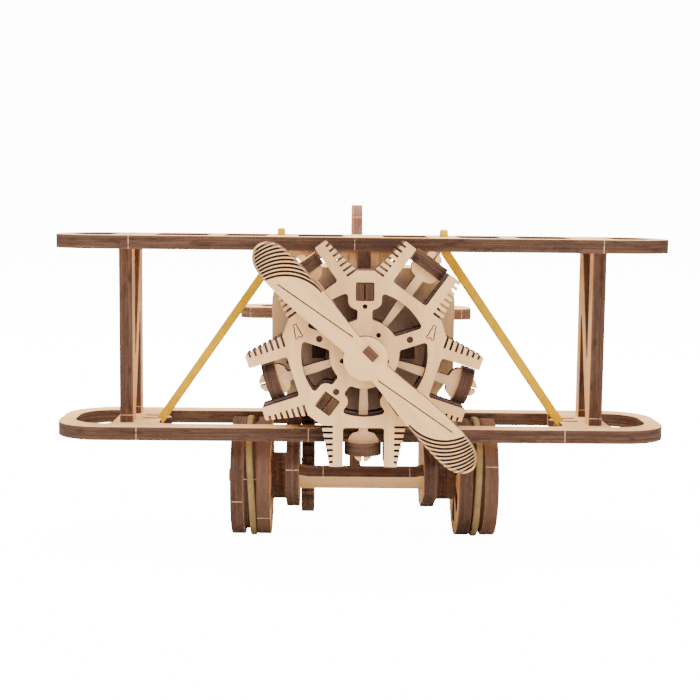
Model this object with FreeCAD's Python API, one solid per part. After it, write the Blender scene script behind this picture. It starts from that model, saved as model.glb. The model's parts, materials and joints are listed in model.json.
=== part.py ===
import FreeCAD, Part
import math
import os

# Plywood biplane kit model with a five-cylinder radial engine driven from its wheels.
#
# Axes: +X to the right seen from in front of the nose, -Y towards the nose, +Z up. Left and
# right pieces are named as seen from there.
# The shapes are drawn in station coordinates: Y is the station, in millimetres aft of the
# wings' leading edge, and Z is the height above the ground. save() moves each one so that
# the origin lies under the middle of the model. Names ending in _S are stations.

# ---- driving dimensions, millimetres ----
PLY = 4.0                    # every flat piece is cut from this sheet
PART_GAP = 0.3               # free space between bodies that move past each other
SHAFT_FIT = 0.05             # radial play of a shaft in its bore
ROD_PLAY = 0.1               # a piston rod is sanded this much on each face to slide freely

HALF_SPAN = 92.5
CHORD = 40.0
SPAR = 7.0                   # width of the wings' front and rear bars
WING_TIP_RADIUS = 14.0
LOWER_WING_Z = 32.9
UPPER_WING_Z = 89.6
STRUT_X = 69.2               # inner face of the interplane struts
BRACE_RIB_X = 25.0           # where a brace band passes up through the upper wing

ENGINE_Z = 61.1
STAR_FRONT_S = -16.0         # front face of the front star plate
ROD_LAYER_S = STAR_FRONT_S + PLY
STAR_REAR_S = ROD_LAYER_S + PLY
FIREWALL_S = 2.0
CRANK_GEAR_S = 8.0
PROPELLER_S = -28.0
SHAFT_NOSE_S = -29.0
TAIL_END_S = 125.0
ORIGIN_STATION = (SHAFT_NOSE_S + TAIL_END_S) / 2

CYLINDERS = 5
FIRST_CYLINDER = 54.0        # degrees from +X towards +Z
CYLINDER_STEP = 360.0 / CYLINDERS
CRANK_ANGLE = 46.0           # where the crank stands at rest
CRANK_THROW = 2.0
PISTON_RADIUS = 5.35
PISTON_MIDDLE = 29.2         # mean distance of a piston from the engine's axis
BLADE_ANGLE = 134.4
BLADE_TIP = 43.0
JOURNAL_RADIUS = 5.0

AXLE_S = 20.4
AXLE_Z = 18.7
AXLE_RADIUS = 2.0
WHEEL_RADIUS = 18.2
WHEEL_CORE_RADIUS = 16.6
BAND_RADIUS = AXLE_Z         # the model stands on its two wheel bands
WHEEL_INNER_X = {"left": 27.5, "right": 29.5}   # inner face of each wheel
SIDE_PLATE_X = 18.7

MODULE = 1.5
AXLE_GEAR_TEETH = 13
IDLER_TEETH = 12
LATERAL_TEETH = 20
CRANK_TEETH = 21
GEAR_X = -18.2               # outer face of the gears beside the left side plate
CROSSING_PLAY = 0.5          # extra distance between the two gears that cross at right angles

DECK_Z = 79.0
LOWER_DECK_Z = 46.0
TAILPLANE_Z = 60.7
TAILPLANE_S = 105.0
TAILPLANE_HALF_SPAN = 43.3
FIN_TOP_Z = 103.0
COCKPIT_FORMER_S = 42.5
TAIL_FORMER_S = 84.0
SKID_S = 94.0                # front of the tail skid, under the keel
FIN_S = 100.0


# ---- flat outlines ----
def outline(corners):
    """Closed wire round corners (u, v) or (u, v, radius)."""
    points = [FreeCAD.Vector(corner[0], corner[1], 0) for corner in corners]
    radii = [corner[2] if len(corner) > 2 else 0 for corner in corners]
    count = len(points)
    rounds = []
    taken = []
    for index, here in enumerate(points):
        back = (points[index - 1] - here).normalize()
        ahead = (points[(index + 1) % count] - here).normalize()
        radius = radii[index]
        if radius == 0:
            rounds.append((here, None, here))
            taken.append(0)
            continue
        half_angle = back.getAngle(ahead) / 2
        reach = radius / math.tan(half_angle)
        centre = here + (back + ahead).normalize() * (radius / math.sin(half_angle))
        middle = centre + (here - centre).normalize() * radius
        rounds.append((here + back * reach, middle, here + ahead * reach))
        taken.append(reach)
    for index in range(count):
        side = points[index].distanceToPoint(points[index - 1])
        if taken[index] + taken[index - 1] > side + 1e-6:
            raise ValueError("corner radii too large beside (%.1f, %.1f)" % points[index][:2])
    edges = []
    for index, (start, middle, end) in enumerate(rounds):
        if middle is not None:
            edges.append(Part.Arc(start, middle, end).toShape())
        following = rounds[(index + 1) % count][0]
        if end.distanceToPoint(following) > 1e-6:
            edges.append(Part.makeLine(end, following))
    return Part.Wire(edges)


def rectangle(u_low, v_low, u_high, v_high, radius=0):
    return outline([
        (u_low, v_low, radius),
        (u_high, v_low, radius),
        (u_high, v_high, radius),
        (u_low, v_high, radius),
    ])


def circle(u, v, radius):
    return Part.Wire(Part.makeCircle(radius, FreeCAD.Vector(u, v, 0)))


def panel(axis, start, wires, thickness=PLY):
    """Flat piece: the first wire is its edge, the others its windows.

    Normal X: wires hold (station, height). Normal Y: (x, height). Normal Z: (x, station).
    """
    face = Part.makeFace(wires, "Part::FaceMakerBullseye")
    if axis == "X":
        turn = FreeCAD.Rotation(FreeCAD.Vector(1, 1, 1), 120)
        normal = FreeCAD.Vector(1, 0, 0)
    elif axis == "Y":
        turn = FreeCAD.Rotation(FreeCAD.Vector(1, 0, 0), 90)
        normal = FreeCAD.Vector(0, 1, 0)
    else:
        turn = FreeCAD.Rotation()
        normal = FreeCAD.Vector(0, 0, 1)
    face.Placement = FreeCAD.Placement(normal * start, turn)
    solid = face.extrude(normal * thickness)
    if len(solid.Solids) == 1:
        return solid.Solids[0]
    return solid


def block(x_low, s_low, z_low, x_high, s_high, z_high):
    size = (x_high - x_low, s_high - s_low, z_high - z_low)
    return Part.makeBox(*size, FreeCAD.Vector(x_low, s_low, z_low))


def turned(shape, angle, centre, axis):
    copy = shape.copy()
    copy.rotate(centre, axis, angle)
    return copy


def about_engine(shape, angle):
    """Turn a shape about the engine's axis, from +X towards +Z."""
    return turned(shape, angle, FreeCAD.Vector(0, 0, ENGINE_Z), FreeCAD.Vector(0, -1, 0))


def mirrored(shape):
    return shape.mirror(FreeCAD.Vector(0, 0, 0), FreeCAD.Vector(1, 0, 0))


def only_solid(shape):
    """A boolean's result as one bare solid."""
    if len(shape.Solids) != 1:
        raise ValueError("expected one solid, got %d" % len(shape.Solids))
    return shape.Solids[0]


def save(name, *shapes):
    whole = shapes[0] if len(shapes) == 1 else Part.makeCompound(list(shapes))
    placed = whole.copy()
    placed.translate(FreeCAD.Vector(0, -ORIGIN_STATION, 0))
    if not placed.isValid():
        raise ValueError("invalid shape: " + name)
    placed.exportStep("parts/" + name + ".step")


# ---- wings and struts ----
def interplane_strut():
    """N-shaped side frame with tenons into both wings, on the +X side."""
    low = LOWER_WING_Z + PLY
    high = UPPER_WING_Z
    front, rear, bar = 9.0, 31.5, 5.2
    steepness = (high - low) / (rear - bar - front)
    frame = panel("X", STRUT_X, [outline([
        (front, low), (front + bar, low, 0.8), (rear - bar, high - bar * steepness, 0.8), (rear - bar, low),
        (rear, low), (rear, high), (rear - bar, high, 0.8), (front + bar, low + bar * steepness, 0.8),
        (front + bar, high), (front, high),
    ])])
    tenons = []
    for station in (front + 0.6, rear - bar + 0.6):
        for height in (LOWER_WING_Z, UPPER_WING_Z):
            tenons.append(block(STRUT_X, station, height, STRUT_X + PLY, station + PLY, height + PLY))
    return only_solid(frame.multiFuse(tenons).removeSplitter())


def wing_edge():
    return outline([
        (-HALF_SPAN, 0, WING_TIP_RADIUS),
        (HALF_SPAN, 0, WING_TIP_RADIUS),
        (HALF_SPAN, CHORD, WING_TIP_RADIUS),
        (-HALF_SPAN, CHORD, WING_TIP_RADIUS),
    ])


TIP_WINDOW = (75.4, 87.8, 9.5)   # inboard end, outboard end and outboard corner radius


def wing_window(x_low, x_high, side, tip_radius=2.5):
    """Window between the spars; its outboard corners follow the wing tip."""
    return outline([
        (side * x_low, SPAR, 2.5),
        (side * x_high, SPAR, tip_radius),
        (side * x_high, CHORD - SPAR, tip_radius),
        (side * x_low, CHORD - SPAR, 2.5),
    ])


def upper_wing(struts, brace_slots):
    windows = []
    for side in (-1, 1):
        for x_low, x_high in ((6.0, 19.8), (29.0, 42.0), (47.0, 63.0)):
            windows.append(wing_window(x_low, x_high, side))
        windows.append(wing_window(*TIP_WINDOW[:2], side, TIP_WINDOW[2]))
    wing = panel("Z", UPPER_WING_Z, [wing_edge()] + windows)
    return only_solid(wing.cut(struts + brace_slots))


def lower_wing(struts):
    """One long opening for the wheels and gears, with a hook finger at each end for a brace."""
    opening_end = 61.5
    notch_end = 67.5
    finger_tip = 58.9
    right_end = [
        (opening_end, SPAR, 3.0),
        (opening_end, AXLE_S - 3.8, 0.8),
        (notch_end, AXLE_S - 3.8, 0.8),
        (notch_end, AXLE_S - 2.0),
        (finger_tip, AXLE_S - 2.0, 1.6),
        (finger_tip, AXLE_S + 2.0, 1.6),
        (notch_end, AXLE_S + 2.0),
        (notch_end, AXLE_S + 3.8, 0.8),
        (opening_end, AXLE_S + 3.8, 0.8),
        (opening_end, CHORD - SPAR, 3.0),
    ]
    left_end = [(-corner[0],) + corner[1:] for corner in reversed(right_end)]
    windows = [outline(right_end + left_end)]
    for side in (-1, 1):
        windows.append(wing_window(*TIP_WINDOW[:2], side, TIP_WINDOW[2]))
    wing = panel("Z", LOWER_WING_Z, [wing_edge()] + windows)
    return only_solid(wing.cut(struts))


# A brace is a flat elastic loop. It hooks under the lower wing's finger, slants up to the
# upper wing, passes its rib through two slots and is held on top by a small peg.
BRACE_WIDTH = 2.1
BRACE_THICKNESS = 0.8
BRACE_HALF_GAP = 2.1
BRACE_FOOT = (65.0, 32.0)    # (x, height) inside the loop's lower end
PEG_HEIGHT = 1.3
BRACE_TOP_Z = UPPER_WING_Z + PLY + PEG_HEIGHT + 0.1


def brace_strip(margin, half_width):
    """Bent strip along a brace, from margin beyond its foot to margin above its top."""
    foot_x, foot_z = BRACE_FOOT
    lean = math.atan2(foot_x - BRACE_RIB_X, UPPER_WING_Z - foot_z)
    side_x = half_width * math.cos(lean)
    side_z = half_width * math.sin(lean)
    end_x = foot_x + margin * math.sin(lean)
    end_z = foot_z - margin * math.cos(lean)
    bend_z = half_width * math.tan(lean / 2)
    return outline([
        (end_x + side_x, end_z + side_z), (BRACE_RIB_X + half_width, UPPER_WING_Z + bend_z),
        (BRACE_RIB_X + half_width, BRACE_TOP_Z + margin), (BRACE_RIB_X - half_width, BRACE_TOP_Z + margin),
        (BRACE_RIB_X - half_width, UPPER_WING_Z - bend_z), (end_x - side_x, end_z - side_z),
    ])


def brace_band():
    outer_gap = BRACE_HALF_GAP + BRACE_THICKNESS
    whole = panel("Y", AXLE_S - outer_gap, [brace_strip(BRACE_THICKNESS, BRACE_WIDTH / 2)], 2 * outer_gap)
    inside = panel("Y", AXLE_S - BRACE_HALF_GAP, [brace_strip(0, BRACE_WIDTH)], 2 * BRACE_HALF_GAP)
    return only_solid(whole.cut(inside))


def brace_slots():
    """The two slots in the upper wing's rib, one for each strand."""
    slots = []
    half_length = BRACE_WIDTH / 2 + 0.4
    for start in (AXLE_S - BRACE_HALF_GAP - 1.0, AXLE_S + BRACE_HALF_GAP - 0.2):
        slots.append(block(BRACE_RIB_X - half_length, start, UPPER_WING_Z,
                           BRACE_RIB_X + half_length, start + 1.2, UPPER_WING_Z + PLY))
    return slots


def brace_peg():
    half_width = BRACE_WIDTH / 2 - 0.15
    half_length = BRACE_HALF_GAP - 0.2
    top = UPPER_WING_Z + PLY
    return block(BRACE_RIB_X - half_width, AXLE_S - half_length, top,
                 BRACE_RIB_X + half_width, AXLE_S + half_length, top + PEG_HEIGHT)


# ---- engine ----
ARM_INNER = 5.9
ARM_TIP = 32.5
NOTCH_FLOOR = 21.2
RIM_RADIUS = 23.6
COMB_SLITS = 7
COMB_PITCH = 1.69
COMB_ROOT = ARM_INNER + 2.8
SLIT_WIDTH = 0.7
WINDOW_INNER = 9.9
WINDOW_OUTER = 18.0
SPOKE_WIDTH = 4.1
POST_RADIUS = 17.7
POST_ANGLES = (90.0, 234.0, 306.0)
PIN_ANGLES = (18.0, 162.0, 234.0, 306.0)
PIN_RADIUS = 0.7
SPOKE_HOLE_RADIUS = 13.5
HUB_HOLE_RADIUS = 6.65


def arm_outer(distance):
    """Offset of a cylinder arm's toothed edge from the cylinder's axis."""
    return 9.7 + (ARM_TIP - distance) * 0.19


def arm_corners(side):
    """Half of the outline round one cylinder, from the notch floor out and back to the rim."""
    corners = [
        (NOTCH_FLOOR, ARM_INNER, 0.8),
        (ARM_TIP, ARM_INNER, 0.4),
        (ARM_TIP, arm_outer(ARM_TIP), 0.4),
    ]
    for slit in range(COMB_SLITS):
        middle = ARM_TIP - 1.4 - slit * COMB_PITCH
        outer_edge = middle + SLIT_WIDTH / 2
        inner_edge = middle - SLIT_WIDTH / 2
        corners.append((outer_edge, arm_outer(outer_edge)))
        corners.append((outer_edge, COMB_ROOT))
        corners.append((inner_edge, COMB_ROOT))
        corners.append((inner_edge, arm_outer(inner_edge)))
    half_step = math.radians(CYLINDER_STEP / 2)
    rim_half = 2.3
    rim_u = RIM_RADIUS * math.cos(half_step) + rim_half * math.sin(half_step)
    rim_v = RIM_RADIUS * math.sin(half_step) - rim_half * math.cos(half_step)
    corners.append((rim_u, rim_v))
    return [(corner[0], side * corner[1]) + corner[2:] for corner in corners]


def cylinder_angles():
    return [FIRST_CYLINDER + index * CYLINDER_STEP for index in range(CYLINDERS)]


def star_outline():
    corners = []
    for angle in cylinder_angles():
        cosine = math.cos(math.radians(angle))
        sine = math.sin(math.radians(angle))
        around = list(reversed(arm_corners(-1))) + arm_corners(1)
        for corner in around:
            u = corner[0] * cosine - corner[1] * sine
            v = corner[0] * sine + corner[1] * cosine
            corners.append((u, v + ENGINE_Z) + corner[2:])
    return outline(corners)


def star_windows():
    """Cutter for the five windows between the hub disc and the rim."""
    ring = panel("Y", 0, [circle(0, ENGINE_Z, WINDOW_OUTER), circle(0, ENGINE_Z, WINDOW_INNER)])
    keep = []
    for index in range(CYLINDERS):
        angle = FIRST_CYLINDER + (index + 0.5) * CYLINDER_STEP
        half = SPOKE_WIDTH / 2
        spoke = panel("Y", 0, [rectangle(0, ENGINE_Z - half, 20, ENGINE_Z + half)])
        keep.append(about_engine(spoke, angle))
    for angle in POST_ANGLES:
        half = 4.75
        boss = panel("Y", 0, [rectangle(12.7, ENGINE_Z - half, 24, ENGINE_Z + half, 2.5)])
        keep.append(about_engine(boss, angle))
    windows = ring.cut(keep)
    rounded = []
    for window in windows.Solids:
        corners = [edge for edge in window.Edges if abs(edge.BoundBox.YLength - PLY) < 0.01]
        rounded.append(window.makeFillet(0.9, corners))
    return rounded


def star_plate(station):
    holes = [circle(0, ENGINE_Z, JOURNAL_RADIUS + SHAFT_FIT)]
    for angle in cylinder_angles():
        for hole_angle, distance in ((angle, HUB_HOLE_RADIUS), (angle + 36.0, SPOKE_HOLE_RADIUS)):
            direction = math.radians(hole_angle)
            centre_z = ENGINE_Z + distance * math.sin(direction)
            holes.append(circle(distance * math.cos(direction), centre_z, PIN_RADIUS))
    plate = panel("Y", 0, [star_outline()] + holes)
    plate = only_solid(plate.cut(star_windows() + [post_hole(angle) for angle in POST_ANGLES]))
    plate.translate(FreeCAD.Vector(0, station, 0))
    return plate


POST_SIZE = 4.6


def post_hole(angle):
    half = POST_SIZE / 2
    hole = block(POST_RADIUS - half, 0, ENGINE_Z - half, POST_RADIUS + half, PLY, ENGINE_Z + half)
    return about_engine(hole, angle)


def snap_post(angle):
    """Square post through both star plates and the firewall, split so that it springs in."""
    half = POST_SIZE / 2
    front = STAR_FRONT_S - 0.6
    rear = FIREWALL_S + PLY
    post = block(POST_RADIUS - half, front, ENGINE_Z - half, POST_RADIUS + half, rear, ENGINE_Z + half)
    slit = block(POST_RADIUS - half, front, ENGINE_Z - 0.3,
                 POST_RADIUS + half, front + 9.0, ENGINE_Z + 0.3)
    return about_engine(only_solid(post.cut(slit)), angle)


def spoke_pin(angle):
    front = STAR_FRONT_S + 0.4
    length = STAR_REAR_S + PLY - front
    pin = Part.makeCylinder(PIN_RADIUS, length, FreeCAD.Vector(SPOKE_HOLE_RADIUS, front, ENGINE_Z),
                            FreeCAD.Vector(0, 1, 0))
    return about_engine(pin, angle)


def standoffs():
    """Short bars between the rear star plate and the firewall, one each side and one below."""
    bars = []
    for x_low, z_low in ((-15.0, ENGINE_Z - 2.6), (11.0, ENGINE_Z - 2.6), (-PLY / 2, ENGINE_Z - 10.8)):
        bars.append(block(x_low, STAR_REAR_S + PLY, z_low, x_low + PLY, FIREWALL_S, z_low + PLY))
    return bars


# ---- pistons: each disc rides on a flat rod that lies between the two star plates ----
PISTON_THICKNESS = 3.9
ROD_FOOT = 7.4               # mean distance of the rod's foot from the engine's axis


def piston_shift(angle):
    """How far the crank at rest holds a piston outside its mean place."""
    return CRANK_THROW * math.cos(math.radians(CRANK_ANGLE - angle))


def piston_disc(angle):
    inner = PISTON_MIDDLE - PISTON_THICKNESS / 2
    disc = Part.makeCylinder(PISTON_RADIUS, PISTON_THICKNESS,
                             FreeCAD.Vector(inner, ROD_LAYER_S + PLY / 2, ENGINE_Z),
                             FreeCAD.Vector(1, 0, 0))
    neck = 1.45
    slot = block(inner, ROD_LAYER_S + ROD_PLAY, ENGINE_Z - neck,
                 inner + PISTON_THICKNESS, ROD_LAYER_S + PLY - ROD_PLAY, ENGINE_Z + neck)
    disc = only_solid(disc.cut(slot))
    disc.translate(FreeCAD.Vector(piston_shift(angle), 0, 0))
    return about_engine(disc, angle)


def piston_rod(angle):
    """Flat rod: foot, tapered shank, half-round shoulder, neck through the disc, two prongs."""
    under_disc = PISTON_MIDDLE - PISTON_THICKNESS / 2
    over_disc = PISTON_MIDDLE + PISTON_THICKNESS / 2
    upper = [
        (ROD_FOOT, 0.8),
        (under_disc - 11.0, 1.3),
        (under_disc - 2.9, 1.3, 0.5),
        (under_disc - 2.4, 3.1, 0.6),
        (under_disc - 0.9, 4.3, 0.6),
        (under_disc, 4.3, 0.1),
        (under_disc, 1.45),
        (over_disc, 1.45),
        (over_disc, 2.35, 0.1),
        (over_disc + 1.0, 2.35, 0.5),
        (over_disc + 2.0, 1.0, 0.4),
        (over_disc + 2.0, 0.3),
        (over_disc - 2.6, 0.3),
    ]
    lower = [(corner[0], -corner[1]) + corner[2:] for corner in reversed(upper)]
    corners = [(corner[0], corner[1] + ENGINE_Z) + corner[2:] for corner in upper + lower]
    rod = panel("Y", ROD_LAYER_S + ROD_PLAY, [outline(corners)], PLY - 2 * ROD_PLAY)
    rod.translate(FreeCAD.Vector(piston_shift(angle), 0, 0))
    return about_engine(rod, angle)


# ---- crankshaft and propeller ----
BAR_LONG = 4.0
BAR_SHORT = 2.6
BAR_REAR_S = CRANK_GEAR_S + PLY + 0.6


def crank_bar_profile():
    half_short = BAR_SHORT / 2
    half_long = BAR_LONG / 2
    return rectangle(CRANK_THROW - half_short, ENGINE_Z - half_long,
                     CRANK_THROW + half_short, ENGINE_Z + half_long)


def crank_bar():
    bar = panel("Y", SHAFT_NOSE_S, [crank_bar_profile()], BAR_REAR_S - SHAFT_NOSE_S)
    return about_engine(bar, CRANK_ANGLE)


def crank_disc(front, thickness, radius, centre=0.0):
    """Disc with the crank bar's slot; centre moves it out along the crank's throw."""
    disc = panel("Y", front, [circle(centre, ENGINE_Z, radius), crank_bar_profile()], thickness)
    return about_engine(disc, CRANK_ANGLE)


def blade_corners():
    """One edge of a blade, from the hub to the tip, as (along, across)."""
    return [(4.0, 2.9), (12.0, 3.6), (21.0, 4.6), (30.0, 5.1), (36.5, 5.0), (41.3, 3.3), (BLADE_TIP, 0.0)]


def blade_wire(margin):
    """Blade outline, drawn in by a margin all round."""
    upper = [(u - (margin if u > 30 else 0) * u / BLADE_TIP, max(v - margin, 0)) for u, v in blade_corners()]
    points = [FreeCAD.Vector(u, v + ENGINE_Z, 0) for u, v in upper]
    points += [FreeCAD.Vector(u, ENGINE_Z - v, 0) for u, v in reversed(upper[:-1])]
    curve = Part.BSplineCurve()
    curve.interpolate(points)
    return Part.Wire([curve.toShape(), Part.makeLine(points[-1], points[0])])


GROOVE_RADIUS = 13.0
GROOVE_PITCH = 1.07
GROOVE_WIDTH = 0.52
GROOVE_DEPTH = 1.0
GROOVES = 10


def tip_grooves(inside):
    """Curved grooves across the tip's front, clipped to the inside of the blade."""
    first = FreeCAD.Vector(22.4, 0, ENGINE_Z + 8.9)
    step_angle = math.radians(90 - BLADE_ANGLE)
    step = FreeCAD.Vector(math.cos(step_angle), 0, math.sin(step_angle)) * GROOVE_PITCH
    grooves = []
    for index in range(GROOVES):
        centre = first + step * index
        rings = [circle(centre.x, centre.z, GROOVE_RADIUS + GROOVE_WIDTH / 2),
                 circle(centre.x, centre.z, GROOVE_RADIUS - GROOVE_WIDTH / 2)]
        grooves += panel("Y", PROPELLER_S, rings, GROOVE_DEPTH).common(inside).Solids
    return grooves


def propeller():
    blade = panel("Y", PROPELLER_S, [blade_wire(0)])
    tip_zone = block(21.5, PROPELLER_S, ENGINE_Z - 6, BLADE_TIP, PROPELLER_S + PLY, ENGINE_Z + 6)
    inside = panel("Y", PROPELLER_S, [blade_wire(0.55)]).common(tip_zone)
    blade = blade.cut(tip_grooves(inside))
    engraving = panel("Y", PROPELLER_S, [outline([
        (6.7, ENGINE_Z - 1.5), (6.7, ENGINE_Z - 1.85), (31.5, ENGINE_Z + 3.0), (31.5, ENGINE_Z + 3.35),
    ])], 0.5)
    blade = blade.cut(engraving)
    hub = panel("Y", PROPELLER_S, [circle(0, ENGINE_Z, 6.1)])
    body = hub.fuse([blade, about_engine(blade, 180)]).removeSplitter()
    body = about_engine(body, BLADE_ANGLE)
    return only_solid(body.cut(crank_bar()))


# ---- gears ----
def gear_wire(u, v, teeth, phase):
    """Tapered teeth with generous play, one of them centred on the angle phase."""
    pitch_radius = MODULE * teeth / 2
    root = pitch_radius - 1.2 * MODULE
    tip = pitch_radius + MODULE
    step = 2 * math.pi / teeth
    rising = ((root, -0.25), (pitch_radius, -0.19), (tip, -0.10))
    flank = rising + tuple((radius, -share) for radius, share in reversed(rising))
    corners = []
    for tooth in range(teeth):
        for radius, share in flank:
            angle = phase + (tooth + share) * step
            corners.append((u + radius * math.cos(angle), v + radius * math.sin(angle)))
    return outline(corners)


def meshing_phase(direction, phase, teeth, other_teeth):
    """Phase of a gear that meets this one in the given direction, tooth in gap."""
    return direction + math.pi - (teeth * (phase - direction) + math.pi) / other_teeth


def pitch(teeth):
    return MODULE * teeth / 2


LATERAL_S = CRANK_GEAR_S + PLY / 2 + pitch(LATERAL_TEETH) + CROSSING_PLAY
LATERAL_Z = ENGINE_Z


def idler_centre():
    """The idler touches the pitch circles of the axle gear and of the lateral gear."""
    reach_axle = pitch(AXLE_GEAR_TEETH) + pitch(IDLER_TEETH)
    reach_lateral = pitch(LATERAL_TEETH) + pitch(IDLER_TEETH)
    along_s = LATERAL_S - AXLE_S
    along_z = LATERAL_Z - AXLE_Z
    distance = math.hypot(along_s, along_z)
    forward = (distance ** 2 + reach_axle ** 2 - reach_lateral ** 2) / (2 * distance)
    aside = math.sqrt(reach_axle ** 2 - forward ** 2)
    centre_s = AXLE_S + (along_s * forward - along_z * aside) / distance
    centre_z = AXLE_Z + (along_z * forward + along_s * aside) / distance
    return centre_s, centre_z


IDLER_S, IDLER_Z = idler_centre()
TO_IDLER = math.atan2(IDLER_Z - AXLE_Z, IDLER_S - AXLE_S)
TO_LATERAL = math.atan2(LATERAL_Z - IDLER_Z, LATERAL_S - IDLER_S)
AXLE_PHASE = TO_IDLER
IDLER_PHASE = meshing_phase(TO_IDLER, AXLE_PHASE, AXLE_GEAR_TEETH, IDLER_TEETH)
LATERAL_PHASE = meshing_phase(TO_LATERAL, IDLER_PHASE, IDLER_TEETH, LATERAL_TEETH)


def crank_phase():
    """The crank gear crosses the lateral gear at right angles, side by side at angle 180."""
    offset = LATERAL_TEETH * (LATERAL_PHASE - math.pi) - math.pi
    return math.pi + offset / CRANK_TEETH


def gear_in_plate(s, z, teeth, phase, bore):
    holes = [circle(s, z, bore)]
    web_middle = (pitch(teeth) - 1.2 * MODULE + bore) / 2
    hole_radius = min((pitch(teeth) - 1.2 * MODULE - bore) / 2 - 1.3, web_middle * 0.45)
    for index in range(5):
        angle = phase + index * 2 * math.pi / 5
        holes.append(circle(s + web_middle * math.cos(angle), z + web_middle * math.sin(angle), hole_radius))
    return panel("X", GEAR_X, [gear_wire(s, z, teeth, phase)] + holes)


def crank_gear():
    wires = [gear_wire(0, ENGINE_Z, CRANK_TEETH, crank_phase())]
    for index in range(5):
        angle = index * 2 * math.pi / 5
        wires.append(circle(9.6 * math.cos(angle), ENGINE_Z + 9.6 * math.sin(angle), 2.6))
    gear = panel("Y", CRANK_GEAR_S, wires)
    return only_solid(gear.cut(crank_bar()))


def along_x(s, z, radius, x_low, x_high):
    return Part.makeCylinder(radius, x_high - x_low, FreeCAD.Vector(x_low, s, z), FreeCAD.Vector(1, 0, 0))


# ---- landing gear ----
def wheel_disc(x_low, radius, windowed):
    wires = [circle(AXLE_S, AXLE_Z, radius), circle(AXLE_S, AXLE_Z, AXLE_RADIUS)]
    if windowed:
        for index in range(6):
            start = math.radians(index * 60 + 13)
            end = math.radians(index * 60 + 47)
            corners = [(7.0, start, 1.0), (14.0, start + 0.03, 1.5), (14.6, (start + end) / 2),
                       (14.0, end - 0.03, 1.5), (7.0, end, 1.0)]
            wires.append(outline([
                (AXLE_S + distance * math.cos(angle), AXLE_Z + distance * math.sin(angle)) + tuple(rest)
                for distance, angle, *rest in corners
            ]))
    return panel("X", x_low, wires)


def wheel_band(x_low):
    """Elastic band stretched over the wheel's core, a little proud of the two outer discs."""
    width = 2.0
    start = x_low + PLY + (PLY - width) / 2
    wires = [circle(AXLE_S, AXLE_Z, BAND_RADIUS), circle(AXLE_S, AXLE_Z, WHEEL_CORE_RADIUS)]
    return panel("X", start, wires, width)


def axle_collar(wheel_x):
    """Knurled spacer ring between a side plate and the wheel's inner face."""
    ridges = 24
    corners = []
    for index in range(ridges * 2):
        radius = 7.2 if index % 2 == 0 else 6.6
        angle = math.pi * index / ridges
        corners.append((AXLE_S + radius * math.cos(angle), AXLE_Z + radius * math.sin(angle)))
    start = SIDE_PLATE_X + PLY + PART_GAP
    wires = [outline(corners), circle(AXLE_S, AXLE_Z, AXLE_RADIUS)]
    return panel("X", start, wires, wheel_x - start)


SPREADER_S = 4.8
SPREADER_Z = 21.4
SPREADER_TILT = 44.0


def spreader():
    """Bar between the two legs, tilted about X, with flared ends."""
    half = SIDE_PLATE_X
    waist = 3.2
    flare = 4.2
    edge = outline([
        (-half, -flare, 0.3), (-half + 2.6, -waist, 2.0), (half - 2.6, -waist, 2.0), (half, -flare, 0.3),
        (half, waist), (-half, waist),
    ])
    bar = panel("Z", -PLY / 2, [edge])
    bar = turned(bar, -SPREADER_TILT, FreeCAD.Vector(0, 0, 0), FreeCAD.Vector(1, 0, 0))
    bar.translate(FreeCAD.Vector(0, SPREADER_S, SPREADER_Z))
    return bar


# ---- fuselage ----
def side_plate(x_low, shaft_holes):
    """Side of the fuselage and landing leg in one piece, with the bores of the axle and gears."""
    edge = outline([
        (AXLE_S - 4.0, AXLE_Z - 9.0, 5.0),
        (AXLE_S + 9.0, AXLE_Z - 9.0, 8.0),
        (AXLE_S + 9.0, LOWER_WING_Z - 5.0, 4.0),
        (CHORD - SPAR, LOWER_WING_Z - 1.0, 1.0),
        (CHORD - SPAR, LOWER_WING_Z + PLY, 0),
        (CHORD - SPAR + 3.0, LOWER_WING_Z + PLY + 0.2, 1.0),
        (CHORD - SPAR + 8.0, LOWER_DECK_Z, 3.0),
        (COCKPIT_FORMER_S + 22.0, LOWER_DECK_Z + 4.0, 4.0),
        (COCKPIT_FORMER_S + 22.0, DECK_Z - 10.0, 6.0),
        (COCKPIT_FORMER_S + 4.0, DECK_Z, 4.0),
        (FIREWALL_S + PLY, DECK_Z, 0),
        (FIREWALL_S + PLY, 50.0, 2.0),
        (SPAR, LOWER_WING_Z + PLY + 6.0, 3.0),
        (SPAR, LOWER_WING_Z - 2.0, 1.0),
        (SPREADER_S - 4.8, SPREADER_Z + 4.4, 3.0),
        (SPREADER_S - 4.8, SPREADER_Z - 4.6, 3.0),
    ])
    wires = [edge, circle(AXLE_S, AXLE_Z, AXLE_RADIUS + SHAFT_FIT)]
    wires += [circle(s, z, 2.0) for s, z in shaft_holes]
    wires.append(outline([(11.0, 68.0, 2.0), (19.0, 74.5, 2.0), (11.0, 74.5, 2.0)]))
    wires.append(outline([(44.5, 53.0, 2.0), (60.0, 54.0, 2.0), (60.0, 66.0, 3.0), (48.0, 73.0, 3.0),
                          (44.5, 73.0, 1.0)]))
    wires.append(outline([(11.0, 50.0, 2.0), (19.0, 46.0, 2.0), (16.0, 54.0, 2.0), (11.0, 58.0, 2.0)]))
    plate = panel("X", x_low, wires)
    tabs = [block(x_low, FIREWALL_S, z, x_low + PLY, FIREWALL_S + PLY, z + PLY) for z in (56.0, 70.0)]
    top_tab = block(x_low, 20.0, DECK_Z, x_low + PLY, 28.0, DECK_Z + PLY)
    return only_solid(plate.multiFuse(tabs + [top_tab]).removeSplitter())


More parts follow.
